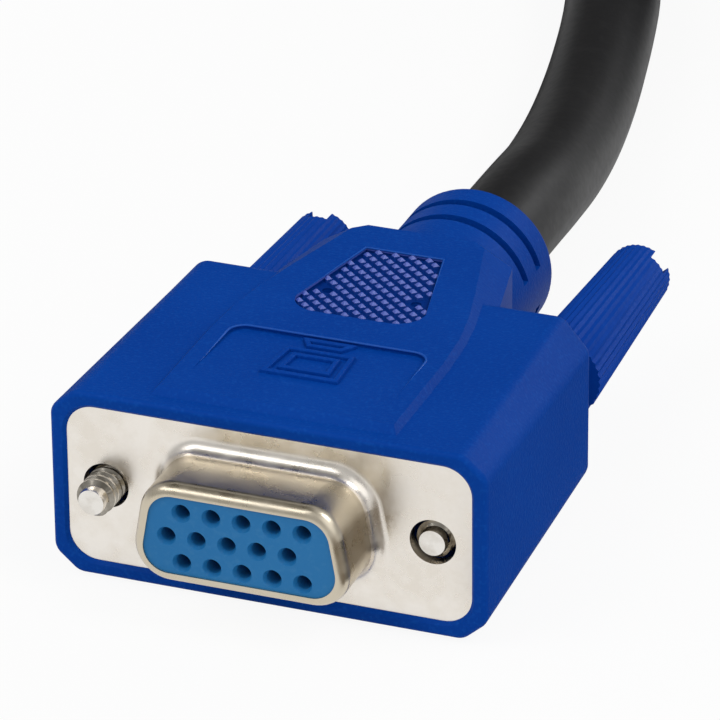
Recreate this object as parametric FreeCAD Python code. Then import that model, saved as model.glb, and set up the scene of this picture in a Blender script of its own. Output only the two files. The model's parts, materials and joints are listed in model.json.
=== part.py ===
import FreeCAD, Part
import math
import os

# Lead for a keyboard, video and mouse switch: an HD15 socket, a round cable and an HD15 plug.
# Millimetres, +Z up. The lead lies on the plane z = 0, with the origin under the middle of the socket end.
# Each end is drawn about the centre of its flange's front face, with +Y towards the cable, and then laid.

# Steel flanges and shells
flange_end = 2.955
flange_height = 12.4
flange_corner = 2.2
sheet = 0.5
jack_spacing = 24.99
jack_hole = 3.5
shell_reach = 5.7
shell_wall = 0.86
shell_root = 1.1
shell_lip = 0.92
shell_slope = 10.0
shell_rise = 0.18
socket_width = 16.33
socket_height = 7.9
socket_corner = 2.75
mating_gap = 0.26

# Insulators and contacts
contact_pitch = 2.29
row_pitch = 1.98
row_shift = 0.2
hole_mouth = 1.45
hole_bore = 1.1
hole_flare = 0.35
face_recess = 0.15
plug_face = 0.4
contact_fit = 0.03
sleeve_recess = 2.0
sleeve_bore = 0.78
sleeve_depth = 5.0
pin_diameter = 0.76
pin_recess = 0.6
pin_point = 0.4
cup_diameter = 0.9
cup_reach = 1.6

# Core behind the flange
core_width = 17.9
core_height = 9.3
core_corner = 3.3
skirt_wall = 0.45
skirt_end = 7.0
foil = 0.2
core_end = 19.0
wire_diameter = 0.86
wire_squeeze_x = 0.46
wire_squeeze_z = 0.6

# Moulded hood
rim_proud = 0.3
rim_round = 0.4
rim_bevel = 0.25
rim_side = 1.2
hood_half_height = 7.37
hood_edge_x = 1.85
hood_edge_z = 1.6
ear_depth = 23.5
ear_draft = 0.35
ear_edge_x = 2.1
ear_edge_z = 2.5
ear_round = 1.3
rear_round = 0.9
plateau_start = 1.1
plateau_ramp = 0.65
plateau_rise = 0.48
plateau_edge = 1.28
belly = 7.6
belly_trim = 0.01
collar_start = 17.0
collar_diameter = 12.4
collar_end = 44.0
collar_round = 0.5
groove_width = 0.9
groove_depth = 1.0
groove_web = 3.2
groove_centres = (38.3, 41.1)

# Recesses in the plateau
label_front = 4.8
label_rear = 12.95
label_half_width = 7.65
label_corner = 1.3
label_depth = 0.32
knurl_front = 16.65
knurl_corner = 2.2
knurl_rear = 28.05
knurl_wide = 5.05
knurl_narrow = 3.1
knurl_depth = 0.42
knurl_step_x = 0.67
knurl_step_y = 0.59
knurl_gap = 0.04
knurl_tip = 0.15
knurl_below = 0.03
knurl_sink = 0.08
ejector_diameter = 0.8
ejector_depth = 0.9
ejector_x = 3.48
ejector_y = 21.0

# Thumbscrews
thread_diameter = 2.84
thread_length = 7.4
thread_point = 0.35
shank_diameter = 2.2
stop_front = 8.0
stop_length = 1.5
stop_gap = 0.2
channel_gap = 0.48
screw_reach = 4.0
screw_grip = 13.0
grip_length = 18.7
grip_front = 6.4
grip_rear = 4.95
grip_ribs = 34
rib_front = 0.15
rib_rear = 0.06
grip_fit = 0.05
grip_bore_spare = 0.4
slot_width = 1.6
slot_depth = 1.1
socket_pulls = {"left": 1.2, "right": 3.8}
plug_pulls = {"left": 3.2, "right": 2.4}
socket_turns = {"left": 93.0, "right": 40.0}
plug_turns = {"left": 20.0, "right": 65.0}

# Cable, hank and ties
cable_diameter = 8.2
ferrule_start = 20.0
ferrule_length = 6.0
ferrule_wall = 0.8
hank_x = 2.0
hank_y = 157.0
hank_run = 105.0
hank_fold = 24.6
hank_pitch = 8.6
hank_layer = 8.3
hank_layers = 2
hank_round = 3.0
hank_stub = 25.5
hank_entry = 207.0
lead_last_run = 14.0
top_fold = 25.5
top_x = 5.0
top_y = -8.0
tie_thickness = 0.6
tie_gap = 0.1
tie_width = 5.0
tie_y = 78.0
plug_x = -1.0
plug_y = 113.5

# Sizes that follow from those above
cable_radius = cable_diameter / 2
back_of_plates = 2 * sheet
flange_width = jack_spacing + 2 * flange_end
hood_half_width = flange_width / 2 + rim_side
axis_height = belly
inside_width = socket_width + 2 * mating_gap
inside_height = socket_height + 2 * mating_gap
inside_corner = socket_corner + mating_gap
plateau_top = hood_half_height + plateau_rise
flange_y = (shell_reach - ear_depth - socket_pulls["right"] - grip_length) / 2
hank_floor = tie_thickness + tie_gap
hank_inner = hank_fold - cable_radius
hank_outer = hank_fold + hank_pitch + cable_radius
hank_height = cable_diameter + (hank_layers - 1) * hank_layer
hank_middle = hank_fold + hank_pitch / 2
top_layer = hank_floor + cable_radius + hank_layers * hank_layer

# Half outline of the plateau, which narrows to the neck: y, half width of the top, width of the side facet
plateau_outline = [
    (plateau_start + plateau_ramp, 8.95, 1.2),
    (12.0, 8.95, 1.2),
    (16.0, 8.7, 1.3),
    (19.5, 8.15, 1.5),
    (23.5, 7.2, 1.8),
    (30.8, 5.3, 2.2),
    (31.7, 4.3, 2.2),
]

# Routes of the free cable, chosen by hand: x, then y from the socket's flange, then height.
# The lead goes on from its last point here to the way into the hank.
lead_route = [
    (0.0, 44.0, 7.6),
    (0.0, 54.0, 7.6),
    (-1.3, 65.0, 5.4),
    (-3.1, 77.0, 4.15),
    (-5.6, 90.2, 4.12),
]
# The tail's y is measured from the centre of the hank's near fold, and its x from the hank's middle
tail_route = [
    (-20.5, -8.0, 21.4),
    (-20.5, 8.9, 21.4),
    (-15.5, 24.6, 17.8),
    (-6.0, 37.0, 11.2),
    (-1.0, 52.7, 7.6),
    (-1.0, 69.5, 7.6),
]


def vec(x, y, z):
    return FreeCAD.Vector(x, y, z)


def moved(shape, x, y, z):
    copy = shape.copy()
    copy.translate(vec(x, y, z))
    return copy


def rounded_face(centres, radius, y):
    # centres holds the corner circles' (x, z), anticlockwise; the outline wraps round them
    count = len(centres)
    normals = []
    for i in range(count):
        (x, z), (next_x, next_z) = centres[i], centres[(i + 1) % count]
        run = math.hypot(next_x - x, next_z - z)
        normals.append(vec((next_z - z) / run, 0, (x - next_x) / run))
    edges = []
    for i in range(count):
        centre = vec(centres[i][0], y, centres[i][1])
        next_centre = vec(centres[(i + 1) % count][0], y, centres[(i + 1) % count][1])
        middle = (normals[i - 1] + normals[i]).normalize()
        start = centre + normals[i - 1] * radius
        end = centre + normals[i] * radius
        edges.append(Part.Arc(start, centre + middle * radius, end).toShape())
        edges.append(Part.LineSegment(end, next_centre + normals[i] * radius).toShape())
    return Part.Face(Part.Wire(edges))


def rounded_box(width, height, corner, y_from, y_to):
    x = width / 2 - corner
    z = height / 2 - corner
    face = rounded_face([(-x, -z), (x, -z), (x, z), (-x, z)], corner, y_from)
    return face.extrude(vec(0, y_to - y_from, 0))


def d_block(width, height, corner, y_from, y_to):
    # The D has its wide side down and its ends sloped, and stands a little high in the flange
    x = width / 2 - corner
    z = height / 2 - corner
    x_top = x - 2 * z * math.tan(math.radians(shell_slope))
    low = shell_rise - z
    high = shell_rise + z
    face = rounded_face([(-x, low), (x, low), (x_top, high), (-x_top, high)], corner, y_from)
    return face.extrude(vec(0, y_to - y_from, 0))


def bar(radius, y_from, y_to, x=0.0, z=0.0):
    return Part.makeCylinder(radius, y_to - y_from, vec(x, y_from, z), vec(0, 1, 0))


def box(x_from, x_to, y_from, y_to, z_from, z_to):
    return Part.makeBox(x_to - x_from, y_to - y_from, z_to - z_from, vec(x_from, y_from, z_from))


def turned(profile):
    # profile holds (radius, y) points of a piece turned about the Y axis
    points = [vec(radius, y, 0) for radius, y in profile]
    face = Part.Face(Part.makePolygon(points + points[:1]))
    return face.revolve(vec(0, 0, 0), vec(0, 1, 0), 360)


def edges_at(shape, y, half_width, half_height):
    slack = 0.01
    found = []
    for edge in shape.Edges:
        box_of = edge.BoundBox
        in_plane = abs(box_of.YMin - y) < slack and abs(box_of.YMax - y) < slack
        in_width = max(abs(box_of.XMin), abs(box_of.XMax)) < half_width + slack
        in_height = max(abs(box_of.ZMin), abs(box_of.ZMax)) < half_height + slack
        if in_plane and in_width and in_height:
            found.append(edge)
    return found


def contact_spots():
    spots = []
    for row in (1, 0, -1):
        shift = row_shift if row else row_shift - contact_pitch / 2
        for place in range(-2, 3):
            spots.append((place * contact_pitch + shift, row * row_pitch))
    return spots


def jack_bars(radius, y_from, y_to):
    return [bar(radius, y_from, y_to, side * jack_spacing / 2) for side in (-1, 1)]


# Shells
def make_front_shell(width, height, corner):
    plate = rounded_box(flange_width, flange_height, flange_corner, 0, sheet)
    shell = plate.fuse(d_block(width, height, corner, -shell_reach, sheet)).removeSplitter()
    half_height = height / 2 + shell_rise
    shell = shell.makeFillet(shell_root, edges_at(shell, 0, width / 2, half_height))
    shell = shell.makeFillet(shell_lip, edges_at(shell, -shell_reach, width / 2, half_height))
    hollow = d_block(
        width - 2 * shell_wall,
        height - 2 * shell_wall,
        corner - shell_wall,
        -shell_reach,
        sheet,
    )
    return shell.cut([hollow] + jack_bars(jack_hole / 2, 0, sheet))


def make_rear_shell(opening):
    plate = rounded_box(flange_width, flange_height, flange_corner, sheet, back_of_plates)
    plate = plate.cut([opening] + jack_bars(jack_hole / 2, sheet, back_of_plates))
    skirt = d_block(core_width, core_height, core_corner, back_of_plates, skirt_end)
    return plate.fuse(skirt.cut(core_inside(back_of_plates, skirt_end))).removeSplitter()


def core_inside(y_from, y_to):
    return d_block(
        core_width - 2 * skirt_wall,
        core_height - 2 * skirt_wall,
        core_corner - skirt_wall,
        y_from,
        y_to,
    )


# Insulators and contacts
def make_face_insulator(block, face_y):
    mouth = Part.makeCone(
        hole_mouth / 2, hole_bore / 2, hole_flare, vec(0, face_y, 0), vec(0, 1, 0)
    )
    hole = mouth.fuse(bar(hole_bore / 2, face_y, back_of_plates))
    return block.cut([moved(hole, x, 0, z) for x, z in contact_spots()])


def make_rear_insulator():
    holes = [bar(hole_bore / 2, back_of_plates, skirt_end, x, z) for x, z in contact_spots()]
    return core_inside(back_of_plates, skirt_end).cut(holes)


def make_sleeve():
    front = sleeve_recess - shell_reach + face_recess
    outside = hole_bore / 2 - contact_fit
    inside = sleeve_bore / 2
    cup = cup_diameter / 2
    return turned(
        [
            (inside, front),
            (outside, front),
            (outside, skirt_end),
            (cup, skirt_end),
            (cup, skirt_end + cup_reach),
            (0, skirt_end + cup_reach),
            (0, front + sleeve_depth),
            (inside, front + sleeve_depth),
        ]
    )


def make_pin():
    front = pin_recess - shell_reach
    outside = hole_bore / 2 - contact_fit
    pin = pin_diameter / 2
    cup = cup_diameter / 2
    seat = hole_flare - plug_face
    return turned(
        [
            (0, front),
            (pin / 2, front),
            (pin, front + pin_point),
            (pin, seat),
            (outside, seat),
            (outside, skirt_end),
            (cup, skirt_end),
            (cup, skirt_end + cup_reach),
            (0, skirt_end + cup_reach),
        ]
    )


def make_wires():
    wires = []
    start = skirt_end + cup_reach
    for x, z in contact_spots():
        rings = []
        for squeeze_x, squeeze_z, y in ((1, 1, start), (wire_squeeze_x, wire_squeeze_z, core_end)):
            centre = vec(x * squeeze_x, y, z * squeeze_z)
            circle = Part.Circle(centre, vec(0, 1, 0), wire_diameter / 2)
            rings.append(Part.Wire(circle.toShape()))
        wires.append(Part.makeLoft(rings, True, True))
    return wires


def make_inner_mould(wires):
    mould = d_block(core_width, core_height, core_corner, skirt_end, core_end)
    cups = [
        bar(cup_diameter / 2, skirt_end, skirt_end + cup_reach, x, z) for x, z in contact_spots()
    ]
    return mould.cut(cups + wires)


def make_foil():
    outside = foil_outside()
    return outside.cut(d_block(core_width, core_height, core_corner, back_of_plates, core_end))


def foil_outside():
    return d_block(
        core_width + 2 * foil, core_height + 2 * foil, core_corner + foil, back_of_plates, core_end
    )


# Moulded hood
def section(y, half_top, half_side, top, bottom, edge):
    corners = [
        (half_top, top),
        (-half_top, top),
        (-half_side, top - edge),
        (-half_side, edge - bottom),
        (-half_top, -bottom),
        (half_top, -bottom),
        (half_side, edge - bottom),
        (half_side, top - edge),
    ]
    points = [vec(x, y, z) for x, z in corners]
    return Part.makePolygon(points + points[:1])


def make_ears():
    side = hood_half_width
    rear_side = hood_half_width - ear_draft
    height = hood_half_height
    block = Part.makeLoft(
        [
            section(-rim_proud, side - hood_edge_x, side, height, height, hood_edge_z),
            section(ear_depth, rear_side - ear_edge_x, rear_side, height, height, ear_edge_z),
        ],
        True,
        True,
    )
    long_edges = [edge for edge in block.Edges if edge.BoundBox.YLength > ear_depth]
    block = block.makeFillet(ear_round, long_edges)
    block = block.makeFillet(rim_round, edges_at(block, -rim_proud, side, height))
    return block.makeFillet(rear_round, edges_at(block, ear_depth, rear_side, height))


def rim_opening():
    # The pocket for the flange, with a bevel round its front edge
    flare = []
    for grow, y in ((rim_bevel, -rim_proud), (0, rim_bevel - rim_proud)):
        x = flange_width / 2 - flange_corner
        z = flange_height / 2 - flange_corner
        corners = [(-x, -z), (x, -z), (x, z), (-x, z)]
        flare.append(rounded_face(corners, flange_corner + grow, y).OuterWire)
    pocket = rounded_box(flange_width, flange_height, flange_corner, -rim_proud, back_of_plates)
    return [pocket, Part.makeLoft(flare, True, True)]


def make_plateau():
    front, front_half, front_side = plateau_outline[0]
    foot = section(
        plateau_start,
        front_half + front_side * plateau_rise / plateau_edge,
        front_half + front_side,
        hood_half_height,
        hood_half_height,
        plateau_edge - plateau_rise,
    )
    bottom = belly + belly_trim
    sections = [
        section(y, half, half + side, plateau_top, bottom, plateau_edge)
        for y, half, side in plateau_outline
    ]
    return Part.makeLoft([foot] + sections, True, True)


def make_collar():
    collar = bar(collar_diameter / 2, collar_start, collar_end)
    collar = collar.makeFillet(
        collar_round, edges_at(collar, collar_end, collar_diameter / 2, collar_diameter / 2)
    )
    reach = collar_diameter
    for centre in groove_centres:
        y_from = centre - groove_width / 2
        y_to = centre + groove_width / 2
        ring = bar(reach, y_from, y_to).cut(bar(collar_diameter / 2 - groove_depth, y_from, y_to))
        web = box(-reach, reach, y_from, y_to, -groove_web / 2, groove_web / 2)
        collar = collar.cut(ring.cut(web))
    return collar


def wedge(half_width, y_from, y_to, depth_from, depth_to):
    # A cutter that stands on the sloping floor of a recess in the plane z = 0
    high = 2 * depth_to
    points = [
        vec(-half_width, y_from, -depth_from),
        vec(-half_width, y_to, -depth_to),
        vec(-half_width, y_to, high),
        vec(-half_width, y_from, high),
    ]
    face = Part.Face(Part.makePolygon(points + points[:1]))
    return face.extrude(vec(2 * half_width, 0, 0))


def label_recess():
    cutter = wedge(label_half_width, label_front, label_rear, 0, label_depth)
    corners = []
    for edge in cutter.Edges:
        span = edge.BoundBox
        if span.ZLength > label_depth and span.YMin > label_rear - label_corner:
            if span.XLength < label_corner:
                corners.append(edge)
    return cutter.makeFillet(label_corner, corners)


def knurl_recess():
    # Rounded corners at the front, straight sides that run in towards the cable
    shoulder = knurl_front + knurl_corner
    inner = knurl_wide - knurl_corner
    half_way = knurl_corner * math.sqrt(0.5)
    outline = []
    for side in (-1, 1):
        rear = vec(side * knurl_narrow, knurl_rear, -knurl_depth)
        wide = vec(side * knurl_wide, shoulder, -knurl_depth)
        middle = vec(side * (inner + half_way), shoulder - half_way, -knurl_depth)
        front = vec(side * inner, knurl_front, -knurl_depth)
        outline.append([Part.LineSegment(rear, wide), Part.Arc(wide, middle, front)])
    left, right = outline
    front_line = Part.LineSegment(left[1].EndPoint, right[1].EndPoint)
    rear_line = Part.LineSegment(left[0].StartPoint, right[0].StartPoint)
    curves = left + [front_line] + right[::-1] + [rear_line]
    outline = Part.Wire(Part.__sortEdges__([curve.toShape() for curve in curves]))
    prism = Part.Face(outline).extrude(vec(0, 0, 2 * knurl_depth))
    holes = [
        Part.makeCylinder(
            ejector_diameter / 2,
            ejector_depth,
            vec(side * ejector_x, ejector_y, -ejector_depth),
        )
        for side in (-1, 1)
    ]
    return prism.fuse(holes)


def in_knurl(x, y, margin):
    shoulder = knurl_front + knurl_corner
    inner = knurl_wide - knurl_corner
    if y > knurl_rear - margin or y < knurl_front + margin:
        return False
    if y < shoulder and abs(x) > inner:
        return math.hypot(abs(x) - inner, shoulder - y) < knurl_corner - margin
    share = (y - shoulder) / (knurl_rear - shoulder)
    return abs(x) < knurl_wide - share * (knurl_wide - knurl_narrow) - margin


def diamond(x, y, z, size):
    half_x = size * (knurl_step_x - knurl_gap)
    half_y = size * (knurl_step_y - knurl_gap)
    points = [
        vec(x + half_x, y, z),
        vec(x, y + half_y, z),
        vec(x - half_x, y, z),
        vec(x, y - half_y, z),
    ]
    return Part.makePolygon(points + points[:1])


def knurl_points():
    across = int(knurl_wide / knurl_step_x)
    along = int((knurl_rear - knurl_front) / knurl_step_y)
    points = []
    for i in range(-across, across + 1):
        for j in range(along + 1):
            x = i * knurl_step_x
            y = knurl_front + j * knurl_step_y
            clear = math.hypot(abs(x) - ejector_x, y - ejector_y) > knurl_step_x
            if (i + j) % 2 == 0 and clear and in_knurl(x, y, knurl_step_y):
                foot = diamond(x, y, -knurl_depth - knurl_sink, 1)
                tip = diamond(x, y, -knurl_below, knurl_tip)
                points.append(Part.makeLoft([foot, tip], True, True))
    return points


def on_plateau(shape):
    return moved(shape, 0, 0, plateau_top)


def on_belly(shape):
    copy = shape.mirror(vec(0, 0, 0), vec(0, 0, 1))
    copy.translate(vec(0, 0, -belly))
    return copy


def make_hood():
    hood = make_ears().fuse([make_plateau(), make_collar()]).removeSplitter()
    channel = jack_hole / 2 + channel_gap / 2
    cuts = rim_opening() + [
        box(-hood_half_width, hood_half_width, -rim_proud, collar_end, -2 * belly, -belly),
        foil_outside(),
        bar(cable_radius, core_end, collar_end),
        bar(cable_radius + ferrule_wall, ferrule_start, ferrule_start + ferrule_length),
        on_plateau(label_recess()),
        on_plateau(knurl_recess()),
        on_belly(knurl_recess()),
    ]
    cuts += jack_bars(channel, back_of_plates, stop_front)
    cuts += jack_bars(shank_diameter / 2 + stop_gap, stop_front, stop_front + stop_length)
    cuts += jack_bars(channel, stop_front + stop_length, ear_depth)
    hood = hood.cut(cuts)
    points = knurl_points()
    points = [on_plateau(point) for point in points] + [on_belly(point) for point in points]
    return hood.fuse(points)


# Thumbscrews, drawn fully home and then drawn back by their pull
def make_screw():
    thread = thread_diameter / 2
    shank = shank_diameter / 2
    tip = -screw_reach
    return turned(
        [
            (0, tip),
            (thread - thread_point, tip),
            (thread, tip + thread_point),
            (thread, tip + thread_length),
            (shank, tip + thread_length),
            (shank, ear_depth + screw_grip),
            (0, ear_depth + screw_grip),
        ]
    )


def make_grip():
    rings = []
    end = ear_depth + grip_length
    for diameter, rib, y in ((grip_front, rib_front, ear_depth), (grip_rear, rib_rear, end)):
        points = []
        for i in range(2 * grip_ribs):
            radius = diameter / 2 - (rib if i % 2 else 0)
            angle = math.pi * i / grip_ribs
            points.append(vec(radius * math.cos(angle), y, radius * math.sin(angle)))
        rings.append(Part.makePolygon(points + points[:1]))
    body = Part.makeLoft(rings, True, True)
    bore = bar(shank_diameter / 2 + grip_fit, ear_depth, ear_depth + screw_grip + grip_bore_spare)
    slot = box(-grip_front, grip_front, end - slot_depth, end, -slot_width / 2, slot_width / 2)
    return body.cut([bore, slot])


# Cable
def cable_tube(points, name):
    # Straight runs joined by arcs that take up nearly half of the shorter run beside each point
    corners = [vec(*point) for point in points]
    edges = []
    start = corners[0]
    length = 0
    radii = []
    for before, corner, after in zip(corners, corners[1:], corners[2:]):
        back = before - corner
        ahead = after - corner
        reach = 0.45 * min(back.Length, ahead.Length)
        back.normalize()
        ahead.normalize()
        turn = math.pi - back.getAngle(ahead)
        radius = reach / math.tan(turn / 2)
        inward = (back + ahead).normalize()
        middle = corner + inward * (radius / math.cos(turn / 2) - radius)
        arc_start = corner + back * reach
        arc_end = corner + ahead * reach
        edges.append(Part.LineSegment(start, arc_start).toShape())
        edges.append(Part.Arc(arc_start, middle, arc_end).toShape())
        length += (arc_start - start).Length + radius * turn
        radii.append(round(radius, 1))
        start = arc_end
    edges.append(Part.LineSegment(start, corners[-1]).toShape())
    length += (corners[-1] - start).Length
    path = Part.Wire(edges)
    ring = Part.Circle(corners[0], corners[1] - corners[0], cable_radius)
    tube = path.makePipeShell([Part.Wire(ring.toShape())], True, True)
    solid_share = tube.Volume / (math.pi * cable_radius**2 * length)
    print(name, "length", round(length, 1), "radii", radii, "volume share", round(solid_share, 4))
    return tube


def racetrack(radius):
    near = vec(0, 0, 0)
    far = vec(0, hank_run, 0)
    edges = [
        Part.LineSegment(near + vec(radius, 0, 0), far + vec(radius, 0, 0)).toShape(),
        Part.Arc(
            far + vec(radius, 0, 0), far + vec(0, radius, 0), far + vec(-radius, 0, 0)
        ).toShape(),
        Part.LineSegment(far + vec(-radius, 0, 0), near + vec(-radius, 0, 0)).toShape(),
        Part.Arc(
            near + vec(-radius, 0, 0), near + vec(0, -radius, 0), near + vec(radius, 0, 0)
        ).toShape(),
    ]
    return Part.Face(Part.Wire(edges)).extrude(vec(0, 0, hank_height))


def make_hank():
    # Drawn about the centre of the near fold: the bundle, the turn that lies on it and the way in
    bundle = racetrack(hank_outer).cut(racetrack(hank_inner))
    bundle = bundle.makeFillet(hank_round, bundle.Edges)
    bundle.translate(vec(0, 0, hank_floor))
    lane = hank_fold + hank_pitch
    start_x = top_x + top_fold
    climb = [
        (lane, 0.6 * hank_run, top_layer - hank_layer),
        (0.6 * lane + 0.4 * start_x, 0.38 * hank_run, top_layer - 0.5 * hank_layer),
        (start_x, 0.16 * hank_run, top_layer),
        (start_x, top_y, top_layer),
    ]
    ring = Part.Circle(vec(start_x, top_y, top_layer), vec(0, 1, 0), cable_radius)
    disc = Part.Face(Part.Wire(ring.toShape()))
    turn = disc.revolve(vec(top_x, top_y, 0), vec(0, 0, 1), -180)
    return bundle.fuse([cable_tube(climb, "climb"), turn, make_entry()])


def entry_heading():
    angle = math.radians(hank_entry)
    return vec(math.sin(angle), -math.cos(angle), 0)


def entry_start():
    angle = math.radians(hank_entry)
    lane = hank_fold + hank_pitch
    meets = vec(lane * math.cos(angle), lane * math.sin(angle), hank_floor + cable_radius)
    return meets - entry_heading() * hank_stub


def make_entry():
    return Part.makeCylinder(cable_radius, hank_stub, entry_start(), entry_heading())


def make_tie(side):
    # A band round one side's bundle
    thick = hank_outer - hank_inner + 2 * tie_gap
    high = hank_height + 2 * tie_gap
    corner = hank_round + tie_gap
    grow = 2 * tie_thickness
    y_from = tie_y - tie_width / 2
    y_to = tie_y + tie_width / 2
    band = rounded_box(thick + grow, high + grow, corner + tie_thickness, y_from, y_to)
    band = band.cut(rounded_box(thick, high, corner, y_from, y_to))
    return moved(band, side * hank_middle, 0, hank_floor + hank_height / 2)


# Laying the pieces in place
def lay_socket(shape):
    return moved(shape, 0, flange_y, axis_height)


def mirrored(shape):
    return shape.mirror(vec(0, 0, 0), vec(1, 0, 0))


def lay_plug(shape):
    copy = shape.copy()
    copy.rotate(vec(0, 0, 0), vec(0, 0, 1), 180)
    copy.translate(vec(hank_x + plug_x, flange_y + hank_y + plug_y, axis_height))
    return copy


def lay_hank(shape):
    return moved(shape, hank_x, flange_y + hank_y, 0)


def shared_pieces():
    wires = make_wires()
    ferrule_end = ferrule_start + ferrule_length
    ferrule = bar(cable_radius + ferrule_wall, ferrule_start, ferrule_end)
    return {
        "hood": make_hood(),
        "rear_insulator": make_rear_insulator(),
        "wires": Part.makeCompound(wires),
        "inner_mould": make_inner_mould(wires),
        "foil_shield": make_foil(),
        "ferrule": ferrule.cut(bar(cable_radius, ferrule_start, ferrule_end)),
        "cable_end": bar(cable_radius, core_end, collar_end),
    }


def socket_pieces():
    face_y = face_recess - shell_reach
    inner = (socket_width - 2 * shell_wall, socket_height - 2 * shell_wall, socket_corner - shell_wall)
    block = d_block(*inner, face_y, back_of_plates)
    return {
        "front_shell": make_front_shell(socket_width, socket_height, socket_corner),
        "rear_shell": make_rear_shell(d_block(*inner, sheet, back_of_plates)),
        "face_insulator": make_face_insulator(block, face_y),
        "contacts": Part.makeCompound([moved(make_sleeve(), x, 0, z) for x, z in contact_spots()]),
    }


def plug_pieces():
    inner = (inside_width, inside_height, inside_corner)
    wall = 2 * shell_wall
    block = d_block(*inner, -plug_face, back_of_plates)
    return {
        "front_shell": make_front_shell(
            inside_width + wall, inside_height + wall, inside_corner + shell_wall
        ),
        "rear_shell": make_rear_shell(d_block(*inner, sheet, back_of_plates)),
        "face_insulator": make_face_insulator(block, -plug_face),
        "contacts": Part.makeCompound([moved(make_pin(), x, 0, z) for x, z in contact_spots()]),
    }


def thumbscrew_pieces(pulls, turns):
    pieces = {}
    for name, side in (("left", -1), ("right", 1)):
        x = side * jack_spacing / 2
        grip = make_grip()
        grip.rotate(vec(0, 0, 0), vec(0, 1, 0), -turns[name])
        pieces[name + "_screw"] = moved(make_screw(), x, pulls[name], 0)
        pieces[name + "_grip"] = moved(grip, x, pulls[name], 0)
    return pieces


def cable_pieces():
    entry = entry_start() + vec(hank_x, hank_y, 0)
    lead_end = [entry - entry_heading() * lead_last_run, entry]
    lead = [(x, flange_y + y, z) for x, y, z in lead_route + [tuple(point) for point in lead_end]]
    tail = [(hank_x + x, flange_y + hank_y + y, z) for x, y, z in tail_route]
    return {
        "cable_lead": cable_tube(lead, "lead"),
        "cable_hank": lay_hank(make_hank()),
        "cable_tail": cable_tube(tail, "tail"),
        "hank_tie_left": lay_hank(make_tie(-1)),
        "hank_tie_right": lay_hank(make_tie(1)),
    }


def all_pieces():
    shared = shared_pieces()
    pieces = {}
    socket_own = {**socket_pieces(), **thumbscrew_pieces(socket_pulls, socket_turns)}
    plug_own = {**plug_pieces(), **thumbscrew_pieces(plug_pulls, plug_turns)}
    # A plug's pins lie as the mirror image of the holes that they enter
    for name in ("face_insulator", "contacts"):
        plug_own[name] = mirrored(plug_own[name])
    for name in ("rear_insulator", "wires", "inner_mould"):
        plug_own[name] = mirrored(shared[name])
    for prefix, own, lay in (("socket_", socket_own, lay_socket), ("plug_", plug_own, lay_plug)):
        for name, shape in {**shared, **own}.items():
            pieces[prefix + name] = lay(shape)
    pieces.update(cable_pieces())
    return pieces


os.makedirs("parts", exist_ok=True)
for node, shape in all_pieces().items():
    shape.exportStep("parts/" + node + ".step")
    print(node, "solids", len(shape.Solids), "valid", shape.isValid(), "mm3", round(shape.Volume, 1))
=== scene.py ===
import json
import math

import bmesh
import bpy
from mathutils import Matrix, Vector


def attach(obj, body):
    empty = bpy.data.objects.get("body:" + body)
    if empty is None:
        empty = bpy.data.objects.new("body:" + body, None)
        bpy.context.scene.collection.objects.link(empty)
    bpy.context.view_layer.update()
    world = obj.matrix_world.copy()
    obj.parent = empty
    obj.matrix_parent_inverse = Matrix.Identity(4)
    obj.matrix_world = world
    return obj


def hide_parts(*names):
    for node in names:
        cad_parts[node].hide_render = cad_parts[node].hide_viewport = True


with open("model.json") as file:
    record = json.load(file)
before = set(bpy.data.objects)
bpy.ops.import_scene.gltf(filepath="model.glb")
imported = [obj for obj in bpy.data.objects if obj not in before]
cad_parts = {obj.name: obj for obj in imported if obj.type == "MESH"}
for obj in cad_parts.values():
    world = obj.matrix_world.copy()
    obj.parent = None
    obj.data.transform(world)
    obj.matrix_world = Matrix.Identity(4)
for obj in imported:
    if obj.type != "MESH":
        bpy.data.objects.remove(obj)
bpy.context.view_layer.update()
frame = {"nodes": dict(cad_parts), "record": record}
nodes = frame["nodes"]
print("frame loaded", len(nodes), "nodes")

mm = 0.001
flangeY = -20.15  # the socket's flange plane, mm from the origin
plugX, plugY = 1.0, flangeY + 270.5  # the plug's axis and its flange plane
axisHeight = 7.6  # both connectors' axes above the floor

# camera, at the photograph's place
cameraView = {
    "eye": (141.32, -368.91, 209.30),
    "azimuth": 21.046,
    "elevation": 26.737,
    "roll": -0.526,
    "lens": 300,
    "sensor": 36,
    "clip": (0.01, 20),
}


def addCamera():
    data = bpy.data.cameras.new("photoCamera")
    data.lens = cameraView["lens"]
    data.sensor_width = cameraView["sensor"]
    data.clip_start, data.clip_end = cameraView["clip"]
    camera = bpy.data.objects.new("photoCamera", data)
    turn = Matrix.Rotation(math.radians(cameraView["azimuth"]), 4, "Z")
    tilt = Matrix.Rotation(math.radians(90 - cameraView["elevation"]), 4, "X")
    roll = Matrix.Rotation(math.radians(cameraView["roll"]), 4, "Z")
    place = Matrix.Translation(Vector(cameraView["eye"]) * mm)
    camera.matrix_world = place @ turn @ tilt @ roll
    bpy.context.collection.objects.link(camera)
    bpy.context.scene.camera = camera


addCamera()
print("camera placed")


# helpers for materials and node groups
def newMaterial(name):
    material = bpy.data.materials.new(name)
    material.use_nodes = True
    tree = material.node_tree
    shader = tree.nodes["Principled BSDF"]
    return material, tree, shader


def addNode(tree, kind, **settings):
    node = tree.nodes.new(kind)
    for key, value in settings.items():
        setattr(node, key, value)
    return node


def setRange(node, side, limits):
    node.inputs[side + " Min"].default_value, node.inputs[side + " Max"].default_value = limits


def objectCoords(tree):
    return addNode(tree, "ShaderNodeTexCoord").outputs["Object"]


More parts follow.
